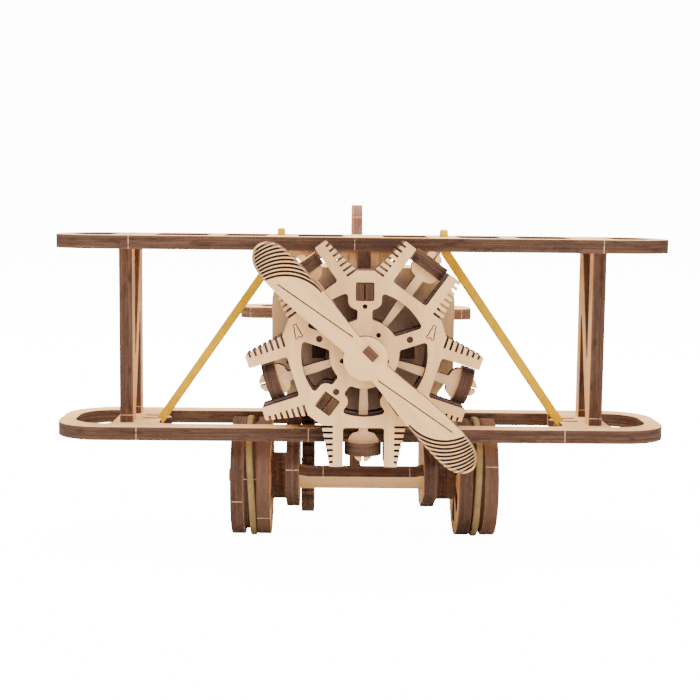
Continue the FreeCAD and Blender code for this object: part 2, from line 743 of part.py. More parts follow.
def firewall(cutters):
    """First former: bearing of the crank behind the engine, and front cabane of the upper wing."""
    half = 27.0
    shoulder = 84.5
    neck = 7.5
    bar_bottom = 87.3
    foot = 12.0
    right = [
        (foot, LOWER_WING_Z + PLY),
        (foot, 42.0, 2.0),
        (20.0, 44.0, 3.0),
        (half, 54.0, 6.0),
        (half, shoulder, 10.0),
        (neck, shoulder, 1.2),
        (neck, bar_bottom, 1.0),
        (22.5, bar_bottom, 0.6),
        (22.5, UPPER_WING_Z, 0),
    ]
    left = [(-corner[0],) + corner[1:] for corner in reversed(right)]
    wires = [outline(right + left), circle(0, ENGINE_Z, JOURNAL_RADIUS + SHAFT_FIT)]
    plate = panel("Y", FIREWALL_S, wires)
    for side in (-1, 1):
        slit_x = side * 4.5
        cutters = cutters + [block(slit_x - 0.25, FIREWALL_S, 85.6,
                                   slit_x + 0.25, FIREWALL_S + PLY, UPPER_WING_Z - 0.6)]
    return only_solid(plate.cut(cutters))


def cabane_spine():
    """Upright plate under the upper wing's centre, joining the front and rear cabanes."""
    top = UPPER_WING_Z
    edge = outline([
        (FIREWALL_S - 2.0, top - 4.8), (FIREWALL_S - 2.0, top), (CHORD - 1.0, top), (CHORD - 1.0, top - 4.8),
        (CHORD - SPAR, top - 4.8, 2.0), (CHORD / 2, top - 2.4, 24.0), (SPAR + 2.0, top - 4.8, 2.0),
    ])
    return panel("X", -PLY / 2, [edge])


def rear_cabane(spine):
    foot = DECK_Z + PLY
    top = UPPER_WING_Z
    edge = outline([
        (-11.0, foot), (11.0, foot), (6.5, foot + 2.6), (6.5, top - 2.4, 0.8),
        (18.0, top - 2.4, 0.6), (18.0, top), (-18.0, top), (-18.0, top - 2.4, 0.6),
        (-6.5, top - 2.4, 0.8), (-6.5, foot + 2.6),
    ])
    return only_solid(panel("Y", CHORD - SPAR + 1.0, [edge]).cut(spine))


def tail_underside(station):
    """Height of the keel's rising edge behind the skid's front."""
    rise = (TAILPLANE_Z - 4.0 - LOWER_DECK_Z - PLY) / (TAIL_END_S - 5.0 - SKID_S)
    return LOWER_DECK_Z + PLY + (station - SKID_S) * rise


def keel():
    """Upright centre plate from the cockpit to the tail, between the two decks."""
    low = LOWER_DECK_Z + PLY
    rear = TAIL_END_S - 5.0
    edge = outline([
        (COCKPIT_FORMER_S + PLY, low), (SKID_S, low), (rear, tail_underside(rear)), (rear, TAILPLANE_Z),
        (FIN_S, TAILPLANE_Z), (FIN_S, DECK_Z - 8.0, 3.0), (92.0, DECK_Z, 2.0), (64.0, DECK_Z),
        (62.0, 70.0, 4.0), (COCKPIT_FORMER_S + PLY, 66.0),
    ])
    windows = [
        outline([(67.0, 55.0, 2.0), (80.0, 55.0, 2.0), (80.0, 73.0, 2.0), (69.0, 73.0, 2.0)]),
        outline([(92.0, 56.0, 1.5), (96.0, 57.0, 1.5), (96.0, 69.0, 1.5), (92.0, 72.0, 1.5)]),
    ]
    plate = panel("X", -PLY / 2, [edge] + windows)
    half = PLY / 2
    tabs = [block(-half, 70.0, DECK_Z, half, 78.0, DECK_Z + PLY),
            block(-half, 56.0, LOWER_DECK_Z, half, 64.0, LOWER_DECK_Z + PLY)]
    return only_solid(plate.multiFuse(tabs).removeSplitter())


def upper_deck(cutters):
    """Top of the fuselage: wide over the gears, a cockpit hole, then a narrowing back."""
    front = CRANK_GEAR_S + PLY - 6.0
    edge = outline([
        (-24.5, front, 0), (24.5, front, 0), (24.5, 44.0, 8.0), (12.0, 70.0, 20.0), (5.0, 98.0, 3.0),
        (-5.0, 98.0, 3.0), (-12.0, 70.0, 20.0), (-24.5, 44.0, 8.0),
    ])
    cockpit = rectangle(-8.5, 45.0, 8.5, 60.0, 5.0)
    hatch = rectangle(-13.0, 12.0, 13.0, 30.0, 3.0)
    return only_solid(panel("Z", DECK_Z, [edge, cockpit, hatch]).cut(cutters))


def lower_deck(cutters):
    front = COCKPIT_FORMER_S + PLY
    edge = outline([
        (-18.7, front, 0), (18.7, front, 0), (18.7, 60.0, 4.0), (4.0, 92.0, 3.0), (-4.0, 92.0, 3.0),
        (-18.7, 60.0, 4.0),
    ])
    windows = [rectangle(side * 9.0 - 4.0, 49.0, side * 9.0 + 4.0, 62.0, 2.0) for side in (-1, 1)]
    return only_solid(panel("Z", LOWER_DECK_Z, [edge] + windows).cut(cutters))


def cockpit_former():
    edge = outline([
        (-SIDE_PLATE_X, LOWER_DECK_Z, 0), (SIDE_PLATE_X, LOWER_DECK_Z, 0),
        (SIDE_PLATE_X, DECK_Z, 0), (-SIDE_PLATE_X, DECK_Z, 0),
    ])
    return panel("Y", COCKPIT_FORMER_S, [edge, rectangle(-11.0, 53.0, 11.0, 73.0, 4.0)])


def tail_former(side):
    """Small former beside the keel, between the decks."""
    return panel("Y", TAIL_FORMER_S, [outline([
        (side * PLY / 2, LOWER_DECK_Z + PLY, 0), (side * 5.0, LOWER_DECK_Z + PLY, 1.0),
        (side * 8.5, DECK_Z - 5.0, 2.0), (side * 7.0, DECK_Z, 0), (side * PLY / 2, DECK_Z, 0),
    ])])


def tailplane(cutter):
    rear = TAIL_END_S
    windows = []
    for side in (-1, 1):
        windows.append(outline([
            (side * 8.0, 111.0, 2.0), (side * 36.0, 111.0, 3.0), (side * 36.0, 119.0, 3.0),
            (side * 8.0, 119.0, 2.0),
        ]))
    edge = outline([
        (-TAILPLANE_HALF_SPAN, TAILPLANE_S, 6.0), (TAILPLANE_HALF_SPAN, TAILPLANE_S, 6.0),
        (TAILPLANE_HALF_SPAN, rear, 8.0), (-TAILPLANE_HALF_SPAN, rear, 8.0),
    ])
    return only_solid(panel("Z", TAILPLANE_Z, [edge] + windows).cut(cutter))


def fin():
    base = TAILPLANE_Z + PLY
    edge = outline([
        (FIN_S, TAILPLANE_Z), (TAILPLANE_S, TAILPLANE_Z), (TAILPLANE_S, base), (TAIL_END_S - 0.5, base),
        (TAIL_END_S - 0.5, 94.0, 4.0), (TAIL_END_S - 3.0, FIN_TOP_Z, 7.0), (110.0, FIN_TOP_Z, 7.0),
        (104.0, 84.0, 12.0),
    ])
    window = outline([(109.0, base + 6.0, 2.0), (118.5, base + 6.0, 2.0), (118.5, 95.0, 3.0),
                      (112.0, 95.0, 3.0)])
    half = PLY / 2
    plate = panel("X", -half, [edge, window])
    tab = block(-half, 107.0, TAILPLANE_Z, half, 116.0, base)
    return only_solid(plate.fuse(tab).removeSplitter())


def tail_skid():
    """Curved leg under the tail that reaches the ground."""
    rear = 108.0
    edge = outline([
        (SKID_S, tail_underside(SKID_S)), (SKID_S, 42.0, 6.0), (101.0, 3.5, 2.0), (99.0, 0.0, 1.0),
        (112.0, 0.0, 2.5), (106.0, 20.0, 14.0), (104.0, 44.0, 10.0), (rear, tail_underside(rear)),
    ])
    return panel("X", -PLY / 2, [edge])


# ---- everything, in its place ----
def main():
    os.makedirs("parts", exist_ok=True)

    strut = interplane_strut()
    struts = [strut, mirrored(strut)]
    slots = brace_slots()
    band = brace_band()
    peg = brace_peg()
    save("upper_wing", upper_wing(struts, slots + [mirrored(slot) for slot in slots]))
    save("lower_wing", lower_wing(struts))
    save("right_interplane_strut", struts[0])
    save("left_interplane_strut", struts[1])
    save("right_brace_band", band)
    save("left_brace_band", mirrored(band))
    save("brace_pegs", peg, mirrored(peg))

    posts = [snap_post(angle) for angle in POST_ANGLES]
    save("front_star_plate", star_plate(STAR_FRONT_S))
    save("rear_star_plate", star_plate(STAR_REAR_S))
    save("engine_snap_posts", *posts)
    save("engine_pins", *[spoke_pin(angle) for angle in PIN_ANGLES])
    save("engine_standoffs", *standoffs())

    for number, angle in enumerate(cylinder_angles(), start=1):
        save("piston_disc_%d" % number, piston_disc(angle))
        save("piston_rod_%d" % number, piston_rod(angle))

    save("crank_bar", crank_bar())
    save("propeller", propeller())
    spacer_radius = 4.6
    save("propeller_spacers",
         crank_disc(PROPELLER_S + PLY, PLY, spacer_radius),
         crank_disc(PROPELLER_S + 2 * PLY, PLY, spacer_radius))
    save("front_journal", crank_disc(STAR_FRONT_S, PLY, JOURNAL_RADIUS))
    save("crank_eccentric", crank_disc(ROD_LAYER_S, PLY, 2.9, CRANK_THROW))
    save("rear_journal", crank_disc(STAR_REAR_S, PLY, JOURNAL_RADIUS))
    save("crank_spacer", crank_disc(STAR_REAR_S + PLY, FIREWALL_S - STAR_REAR_S - PLY, spacer_radius))
    save("firewall_journal", crank_disc(FIREWALL_S, CRANK_GEAR_S - FIREWALL_S, JOURNAL_RADIUS))
    save("crank_gear", crank_gear())

    axle_ends = [side * (WHEEL_INNER_X[name] + 3 * PLY + 1.5) for side, name in ((-1, "left"), (1, "right"))]
    save("wheel_axle", along_x(AXLE_S, AXLE_Z, AXLE_RADIUS, *axle_ends))
    save("axle_gear", gear_in_plate(AXLE_S, AXLE_Z, AXLE_GEAR_TEETH, AXLE_PHASE, AXLE_RADIUS))
    save("idler_gear", gear_in_plate(IDLER_S, IDLER_Z, IDLER_TEETH, IDLER_PHASE, AXLE_RADIUS + SHAFT_FIT))
    save("lateral_gear", gear_in_plate(LATERAL_S, LATERAL_Z, LATERAL_TEETH, LATERAL_PHASE,
                                       AXLE_RADIUS + SHAFT_FIT))
    stub_end = GEAR_X + PLY + 1.2
    save("gear_shafts",
         along_x(IDLER_S, IDLER_Z, AXLE_RADIUS, -SIDE_PLATE_X - PLY, stub_end),
         along_x(LATERAL_S, LATERAL_Z, AXLE_RADIUS, -SIDE_PLATE_X - PLY, stub_end))
    for side, place in (("right", lambda shape: shape), ("left", mirrored)):
        wheel_x = WHEEL_INNER_X[side]
        inner = wheel_disc(wheel_x, WHEEL_RADIUS, True)
        outer = wheel_disc(wheel_x + 2 * PLY, WHEEL_RADIUS, True)
        save(side + "_axle_collar", place(axle_collar(wheel_x)))
        save(side + "_wheel_discs", place(inner), place(outer))
        save(side + "_wheel_core", place(wheel_disc(wheel_x + PLY, WHEEL_CORE_RADIUS, False)))
        save(side + "_wheel_band", place(wheel_band(wheel_x)))

    left_side = side_plate(-SIDE_PLATE_X - PLY, [(IDLER_S, IDLER_Z), (LATERAL_S, LATERAL_Z)])
    right_side = side_plate(SIDE_PLATE_X, [])
    spine = cabane_spine()
    centre_keel = keel()
    upright_fin = fin()
    save("left_side_plate", left_side)
    save("right_side_plate", right_side)
    save("undercarriage_spreader", spreader())
    save("firewall", firewall([left_side, right_side, spine] + posts))
    save("cabane_spine", spine)
    save("rear_cabane", rear_cabane(spine))
    save("keel", centre_keel)
    save("upper_deck", upper_deck([left_side, right_side, centre_keel]))
    save("lower_deck", lower_deck([centre_keel]))
    save("cockpit_former", cockpit_former())
    save("tail_formers", tail_former(-1), tail_former(1))
    save("tailplane", tailplane(upright_fin))
    save("fin", upright_fin)
    save("tail_skid", tail_skid())


main()
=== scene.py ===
import json
import math
import random

import bpy
from mathutils import Matrix, Vector


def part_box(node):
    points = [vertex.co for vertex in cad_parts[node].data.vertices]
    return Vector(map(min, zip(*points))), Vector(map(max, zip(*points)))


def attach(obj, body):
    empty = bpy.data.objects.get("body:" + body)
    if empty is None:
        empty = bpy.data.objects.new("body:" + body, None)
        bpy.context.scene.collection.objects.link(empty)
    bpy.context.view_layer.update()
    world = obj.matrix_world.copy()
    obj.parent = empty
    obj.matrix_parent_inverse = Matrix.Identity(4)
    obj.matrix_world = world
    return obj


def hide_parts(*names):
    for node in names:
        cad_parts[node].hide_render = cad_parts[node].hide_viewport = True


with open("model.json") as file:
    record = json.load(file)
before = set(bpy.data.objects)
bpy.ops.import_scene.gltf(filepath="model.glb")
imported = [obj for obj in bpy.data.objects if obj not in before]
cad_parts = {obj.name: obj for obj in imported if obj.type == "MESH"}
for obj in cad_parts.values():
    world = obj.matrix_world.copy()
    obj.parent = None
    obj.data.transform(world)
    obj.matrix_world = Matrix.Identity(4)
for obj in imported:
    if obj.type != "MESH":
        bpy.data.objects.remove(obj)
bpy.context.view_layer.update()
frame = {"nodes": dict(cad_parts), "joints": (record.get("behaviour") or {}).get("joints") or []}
NODES = frame["nodes"]
MM = 0.001


# ---- places taken from the frame ----
PLY = 4 * MM
LEADING_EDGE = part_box("upper_wing")[0].y
STAR_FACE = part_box("front_star_plate")[0].y
AXLE = (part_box("wheel_axle")[0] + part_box("wheel_axle")[1]) / 2
CRANK_JOINT = [joint for joint in frame["joints"] if joint["name"] == "crank_spin"][0]
ENGINE = Vector(CRANK_JOINT["pos_m"])
RADIAL_ANGLES = {number: 54 + 72 * (number - 1) for number in range(1, 6)}
CRANK_ANGLE = 46
BLADE_ANGLE = 134.4
X_AXIS = Vector((1, 0, 0))
Y_AXIS = Vector((0, 1, 0))
Z_AXIS = Vector((0, 0, 1))


def plane_direction(angle):
    """Direction in the engine's plane, as (x, z)."""
    return Vector((math.cos(math.radians(angle)), math.sin(math.radians(angle))))


def radial(angle):
    direction = plane_direction(angle)
    return Vector((direction.x, 0, direction.y))


# ---- node helpers ----
def add(tree, kind, **settings):
    node = tree.nodes.new(kind)
    for name, value in settings.items():
        if name in node.inputs:
            node.inputs[name].default_value = value
        else:
            setattr(node, name, value)
    return node


def link(tree, source, target):
    tree.links.new(source, target)


def maths(tree, operation, first, second=None):
    node = add(tree, "ShaderNodeMath", operation=operation)
    for index, value in enumerate((first, second)):
        if value is None:
            continue
        if isinstance(value, (int, float)):
            node.inputs[index].default_value = value
        else:
            link(tree, value, node.inputs[index])
    return node.outputs[0]


def blend_colour(tree, amount, first, second, mode="MIX"):
    """Blend two colours; each may be a socket or (red, green, blue)."""
    node = add(tree, "ShaderNodeMix", data_type="RGBA", blend_type=mode)
    for socket, value in ((node.inputs[0], amount), (node.inputs[6], first), (node.inputs[7], second)):
        if isinstance(value, (int, float)):
            socket.default_value = value
        elif isinstance(value, tuple):
            socket.default_value = (*value, 1)
        else:
            link(tree, value, socket)
    return node.outputs[2]


def tinted(tree, colour, tone):
    """Colour multiplied by a tone, channel by channel."""
    if tone == PLAIN_TONE:
        return colour
    return blend_colour(tree, 1.0, colour, tone, "MULTIPLY")


def step_range(tree, value, low, high):
    """0 at low and 1 at high, smooth between."""
    node = add(tree, "ShaderNodeMapRange", interpolation_type="SMOOTHSTEP")
    link(tree, value, node.inputs["Value"])
    node.inputs["From Min"].default_value = low
    node.inputs["From Max"].default_value = high
    return node.outputs["Result"]


NEAR_CORE = 0.4     # share of near's reach that is all 1


def near(tree, value, position, reach):
    """1 at a position along value, falling to 0 at reach from it."""
    away = maths(tree, "ABSOLUTE", maths(tree, "SUBTRACT", value, position))
    return step_range(tree, away, reach, reach * NEAR_CORE)


def noise(tree, vector, scale, detail, roughness):
    """Noise with its own scale along each of the vector's axes, given per metre."""
    stretch = add(tree, "ShaderNodeMapping", Scale=scale)
    link(tree, vector, stretch.inputs["Vector"])
    texture = add(tree, "ShaderNodeTexNoise", Scale=1.0, Detail=detail, Roughness=roughness)
    link(tree, stretch.outputs[0], texture.inputs["Vector"])
    return texture.outputs["Fac"]


def layered(tree, place, colour, layers):
    """Colour under noisy layers, and each layer's noise by name."""
    textures = {}
    for name, scale, detail, roughness, low, high, most, tint in layers:
        textures[name] = noise(tree, place, scale, detail, roughness)
        amount = maths(tree, "MULTIPLY", step_range(tree, textures[name], low, high), most)
        colour = blend_colour(tree, amount, colour, tint)
    return colour, textures


def new_material(name):
    material = bpy.data.materials.new(name)
    material.use_nodes = True
    tree = material.node_tree
    tree.nodes.clear()
    shader = add(tree, "ShaderNodeBsdfPrincipled")
    output = add(tree, "ShaderNodeOutputMaterial")
    link(tree, shader.outputs[0], output.inputs[0])
    return material, tree, shader


def finish_shader(tree, shader, colour, roughness, gloss):
    link(tree, colour, shader.inputs["Base Color"])
    shader.inputs["Roughness"].default_value = roughness
    shader.inputs["Specular IOR Level"].default_value = gloss


def add_relief(tree, shader, height, strength, distance):
    bump = add(tree, "ShaderNodeBump", Strength=strength, Distance=distance)
    link(tree, height, bump.inputs["Height"])
    link(tree, bump.outputs[0], shader.inputs["Normal"])


# ---- plywood ----
PLAIN_TONE = (1, 1, 1)
FACE_LIGHT = (0.92, 0.552, 0.246)
FACE_MIDDLE = (0.75, 0.428, 0.177)
FACE_DARK = (0.53, 0.280, 0.110)
EDGE_LIGHT = (0.200, 0.098, 0.054)
EDGE_MIDDLE = (0.088, 0.041, 0.025)
EDGE_DARK = (0.036, 0.017, 0.011)
BRIDGE = (0.62, 0.38, 0.20)
CHAR = (0.050, 0.024, 0.014)
SCORCH = (0.150, 0.078, 0.044)
# painted shade: tone of the firewall's middle, where the engine shades it
PAINTED_SHADE_TONE = (0.60, 0.66, 1.02)

# each layer: name, noise scale along the grain, across it and through the sheet, detail, roughness,
# the noise value where it begins, the one where it is full, its share there, its colour
FACE_LAYERS = (
    ("figure", (12, 190, 60), 3.0, 0.50, 0.28, 0.70, 1.00, FACE_MIDDLE),
    ("fibre", (85, 2300, 900), 4.0, 0.65, 0.46, 0.80, 0.50, FACE_DARK),
    ("fleck", (420, 3600, 900), 2.0, 0.50, 0.64, 0.76, 0.35, FACE_DARK),
    ("grit", (2400, 2600, 900), 2.0, 0.60, 0.52, 0.72, 0.25, FACE_DARK),
    ("cloud", (55, 70, 60), 2.0, 0.50, 0.35, 0.75, 0.25, FACE_LIGHT),
)
EDGE_LAYERS = (
    ("streaks", (42, 42, 2100), 4.0, 0.60, 0.44, 0.74, 0.85, EDGE_LIGHT),
    ("hairs", (260, 260, 5200), 3.0, 0.60, 0.50, 0.76, 0.45, EDGE_LIGHT),
    ("patches", (75, 75, 260), 3.0, 0.55, 0.50, 0.74, 0.45, EDGE_LIGHT),
    ("soot", (150, 150, 700), 2.0, 0.50, 0.52, 0.74, 0.75, EDGE_DARK),
    ("pits", (2600, 2600, 1900), 2.0, 0.60, 0.50, 0.72, 0.45, EDGE_DARK),
)
# distances from the sheet's mid-plane
RIM_START = 1.45 * MM
RIM_FULL = 1.95 * MM
GLUE_LINE = 0.66 * MM
GLUE_REACH = 0.20 * MM
ENGRAVED_FULL = 1.70 * MM
ENGRAVED_START = 1.85 * MM
RIM_SHARE = 0.45
GLUE_SHARE = 0.40
BRIDGE_REACH = 0.17 * MM
FACE_COSINES = (0.70, 0.80)     # between an edge and a face, by the normal's cosine
PIT_STEPS = (0.36, 0.50)        # where pits break up a light bridge


def edge_colour(tree, place, depth, tone):
    """Laser-burnt edge: streaks along the sheet, darker patches and the dark glue lines."""
    colour, textures = layered(tree, place, EDGE_MIDDLE, EDGE_LAYERS)
    rim = maths(tree, "MULTIPLY", step_range(tree, depth, RIM_START, RIM_FULL), RIM_SHARE)
    colour = blend_colour(tree, rim, colour, EDGE_LIGHT)
    glue = maths(tree, "MULTIPLY", near(tree, depth, GLUE_LINE, GLUE_REACH), GLUE_SHARE)
    colour = blend_colour(tree, glue, colour, EDGE_DARK)
    # the tone is partly the wood's own tone and partly painted light and shade, set piece by piece
    return tinted(tree, colour, (tone, tone, tone)), textures


def with_bridges(tree, colour, row, pits, bridges):
    """Light spots where the cutting left the edges unburnt."""
    dots = step_range(tree, pits, *PIT_STEPS)
    for axis_index, position, along_x, reach in bridges:
        amount = near(tree, row[axis_index], position, BRIDGE_REACH)
        if reach is not None:
            amount = maths(tree, "MULTIPLY", amount, near(tree, row[0], along_x, reach))
        colour = blend_colour(tree, maths(tree, "MULTIPLY", amount, dots), colour, BRIDGE)
    return colour


def sheet_place(tree, coordinates, axis, grain, middle, seed):
    """Place in the sheet, X along the grain and Z from its mid-plane: as it is, and shifted for noise."""
    across = axis.cross(grain).normalized()
    turn = Matrix((grain.normalized(), across, axis.normalized())).to_euler()
    laid = add(tree, "ShaderNodeMapping", Rotation=turn, Location=(0, 0, -middle))
    link(tree, coordinates.outputs["Object"], laid.inputs["Vector"])
    draws = random.Random(seed)
    shift = add(tree, "ShaderNodeMapping", Location=(draws.uniform(0, 9), draws.uniform(0, 9), 0))
    link(tree, laid.outputs[0], shift.inputs["Vector"])
    return laid.outputs[0], shift.outputs[0]


def plywood(name, axis, grain, middle, seed, edge_tone_and_shading, face_tone_and_shading, bridges, finish):
    """Light sheet faces with fine grain and laser-burnt edges that show the plies.

    axis is the sheet's normal, middle the sheet's mid-plane along it, and bridges the light
    spots left on the edges. The edge and face tones are partly the wood's own tone and partly
    painted light and shade. finish, if any, changes the face's colour further: scorch on the
    propeller, painted shade on the firewall.
    """
    material, tree, shader = new_material(name)
    coordinates = add(tree, "ShaderNodeTexCoord")
    local, place = sheet_place(tree, coordinates, axis, grain, middle, seed)
    dot = add(tree, "ShaderNodeVectorMath", operation="DOT_PRODUCT")
    link(tree, coordinates.outputs["Normal"], dot.inputs[0])
    dot.inputs[1].default_value = axis
    face = step_range(tree, maths(tree, "ABSOLUTE", dot.outputs["Value"]), *FACE_COSINES)
    split = add(tree, "ShaderNodeSeparateXYZ")
    link(tree, local, split.inputs[0])
    depth = maths(tree, "ABSOLUTE", split.outputs["Z"])
    row = add(tree, "ShaderNodeSeparateXYZ")
    link(tree, coordinates.outputs["Object"], row.inputs[0])

    light, face_textures = layered(tree, place, FACE_LIGHT, FACE_LAYERS)
    # the face tone is partly the wood's own tone and partly painted light and shade
    light = tinted(tree, light, face_tone_and_shading)
    if finish:
        light = finish(tree, light, row.outputs, depth)
    burnt, edge_textures = edge_colour(tree, place, depth, edge_tone_and_shading)
    if bridges:
        burnt = with_bridges(tree, burnt, row.outputs, edge_textures["pits"], bridges)
    colour = blend_colour(tree, face, burnt, light)
    finish_shader(tree, shader, colour, roughness=0.75, gloss=0.12)
    relief = maths(tree, "ADD", maths(tree, "MULTIPLY", face_textures["fibre"], 0.5),
                   maths(tree, "MULTIPLY", edge_textures["streaks"], 0.5))
    add_relief(tree, shader, relief, strength=0.35, distance=0.12 * MM)
    return material


# ---- further finishes of single sheets: scorch on the propeller, painted shade on the firewall ----
GROOVE_CENTRE = Vector((22.4 * MM, 8.9 * MM))   # of the first groove, along and across the blade
GROOVE_RADIUS = 13.0 * MM
GROOVE_PITCH = 1.07 * MM
GROOVES = 10
GROOVES_START = 21.5 * MM                       # distance along the blade
GROOVES_FADE = 0.2 * MM
SCORCH_NONE = 0.42 * MM                         # distances from a groove's middle
SCORCH_FULL = 0.30 * MM
SCORCH_SHARE = 0.85
# where the painted shade on the firewall's middle begins and where it is full
PAINTED_SHADE_NONE = 26 * MM                            # distances from the crank's axis
PAINTED_SHADE_FULL = 22 * MM


def from_engine(tree, row):
    """Distances from the crank's axis along X and Z."""
    return maths(tree, "SUBTRACT", row[0], ENGINE.x), maths(tree, "SUBTRACT", row[2], ENGINE.z)


def propeller_finish(tree, colour, row, depth):
    """Charred floors of the engraved lines, and scorched wood on both sides of the tip grooves."""
    from_x, from_z = from_engine(tree, row)
    blade = plane_direction(BLADE_ANGLE)
    along = maths(tree, "ADD", maths(tree, "MULTIPLY", from_x, blade.x),
                  maths(tree, "MULTIPLY", from_z, blade.y))
    end = maths(tree, "SIGN", along)
    centre = Matrix.Rotation(math.radians(BLADE_ANGLE), 2) @ GROOVE_CENTRE
    aside = maths(tree, "SUBTRACT", maths(tree, "MULTIPLY", from_x, end), centre.x)
    height = maths(tree, "SUBTRACT", maths(tree, "MULTIPLY", from_z, end), centre.y)
    squared = maths(tree, "MULTIPLY", aside, aside)
    rise = maths(tree, "SQRT", maths(tree, "SUBTRACT", GROOVE_RADIUS ** 2, squared))
    count = maths(tree, "DIVIDE", maths(tree, "SUBTRACT", height, rise), GROOVE_PITCH)
    part = maths(tree, "SUBTRACT", maths(tree, "FRACT", maths(tree, "ADD", count, 0.5)), 0.5)
    level = maths(tree, "MULTIPLY", maths(tree, "ABSOLUTE", part), GROOVE_PITCH)
    away = maths(tree, "MULTIPLY", level, maths(tree, "DIVIDE", rise, GROOVE_RADIUS))
    amount = step_range(tree, away, SCORCH_NONE, SCORCH_FULL)
    for value, low, high in (
        (count, -0.5, -0.4), (count, GROOVES - 0.5, GROOVES - 0.6),
        (maths(tree, "ABSOLUTE", along), GROOVES_START, GROOVES_START + GROOVES_FADE),
    ):
        amount = maths(tree, "MULTIPLY", amount, step_range(tree, value, low, high))
    colour = blend_colour(tree, maths(tree, "MULTIPLY", amount, SCORCH_SHARE), colour, SCORCH)
    return blend_colour(tree, step_range(tree, depth, ENGRAVED_START, ENGRAVED_FULL), colour, CHAR)


def firewall_painted_shade(tree, colour, row, depth):
    """Painted shade: the firewall's middle behind the engine is darker, where the engine shades it."""
    from_x, from_z = from_engine(tree, row)
    distance = maths(tree, "SQRT", maths(tree, "ADD", maths(tree, "MULTIPLY", from_x, from_x),
                                         maths(tree, "MULTIPLY", from_z, from_z)))
    amount = step_range(tree, distance, PAINTED_SHADE_NONE, PAINTED_SHADE_FULL)
    return blend_colour(tree, amount, colour, tinted(tree, colour, PAINTED_SHADE_TONE))


SCORCH_AND_PAINTED_SHADE = {"propeller": propeller_finish, "firewall": firewall_painted_shade}


# ---- other materials ----
def mottled(name, base, layers, roughness, gloss):
    """Material of noisy layers in the row's own frame."""
    material, tree, shader = new_material(name)
    coordinates = add(tree, "ShaderNodeTexCoord")
    colour, textures = layered(tree, coordinates.outputs["Object"], base, layers)
    finish_shader(tree, shader, colour, roughness, gloss)
    return material, tree, shader, textures


def scorched(name):
    """Scorched wood of engraved lines and burnt hole rims."""
    soot = ("soot", (1500, 1500, 1500), 3.0, 0.6, 0.45, 0.75, 0.5, EDGE_LIGHT)
    return mottled(name, CHAR, (soot,), roughness=0.9, gloss=0.08)[0]


def dowel(name, light, dark, grain_scale):
    """Turned wood; the grain runs along the axis with the least scale."""
    grain = ("grain", grain_scale, 4.0, 0.6, 0.35, 0.75, 1.0, dark)
    material, tree, shader, textures = mottled(name, light, (grain,), roughness=0.7, gloss=0.12)
    add_relief(tree, shader, textures["grain"], strength=0.3, distance=0.1 * MM)
    return material


DUST_TONE = 0.45    # the stretch marks' share of the deep colour


def elastic(name, light, deep, gloss):
    """Thin coloured rubber with soft mottling and fine stretch marks."""
    dust = tuple(DUST_TONE * channel for channel in deep)
    layers = (
        ("mottle", (260, 260, 260), 3.0, 0.6, 0.30, 0.70, 1.0, deep),
        ("fine", (2500, 2500, 1200), 2.0, 0.5, 0.60, 0.78, 0.30, dust),
    )
    material, tree, shader, textures = mottled(name, light, layers, roughness=0.55, gloss=gloss)
    add_relief(tree, shader, textures["fine"], strength=0.25, distance=0.1 * MM)
    return material


# ---- which way each sheet was cut, and its tones ----
SPREADER_TILT = -37     # degrees about X, of the sheet's normal from Z
Y_SHEETS = (
    "front_star_plate", "rear_star_plate", "firewall", "rear_cabane", "cockpit_former", "tail_formers",
    "propeller", "propeller_spacers", "front_journal", "rear_journal", "crank_eccentric", "crank_spacer",
    "firewall_journal", "crank_gear",
)
Z_SHEETS = ("upper_wing", "lower_wing", "upper_deck", "lower_deck", "tailplane", "brace_pegs")
DOWEL_NODES = ("wheel_axle", "gear_shafts")
PIN_NODE = "engine_pins"
# what multiplies the burnt edges' colour, where that isn't 1: partly the wood's own tone, partly painted
# light and shade set piece by piece, with shaded pieces such as the gears painted lighter and others
# painted darker
EDGE_TONE_AND_SHADING = {
    "cabane_spine": 0.8, "fin": 2.2, "tailplane": 1.8, "engine_snap_posts": 0.6, "engine_standoffs": 0.55,
    "idler_gear": 1.4, "lateral_gear": 1.2, "upper_wing": 0.95, "lower_wing": 0.86,
    "left_side_plate": 0.82, "right_side_plate": 0.82, "left_wheel_discs": 0.85, "right_wheel_discs": 0.85,
    "left_wheel_core": 0.85, "right_wheel_core": 0.85,
    "left_interplane_strut": 0.92, "right_interplane_strut": 0.82,
}
# and the faces' colour, channel by channel: partly the wood's own tone, partly painted light and shade set
# piece by piece; the rear star plate's dark tone is painted shade, for that plate lies in the front plate's
# shadow
FACE_TONE_AND_SHADING = {
    "rear_star_plate": (0.22, 0.25, 0.55), "firewall": (0.80, 0.78, 0.76),
    "undercarriage_spreader": (0.67, 0.66, 0.63),
}
# painted light and shade: the rods' faces made less orange and the discs' edges darker, for how light falls
# inside the engine
for piston in RADIAL_ANGLES:
    FACE_TONE_AND_SHADING["piston_rod_%d" % piston] = (0.96, 0.98, 1.12)
    EDGE_TONE_AND_SHADING["piston_disc_%d" % piston] = 0.78
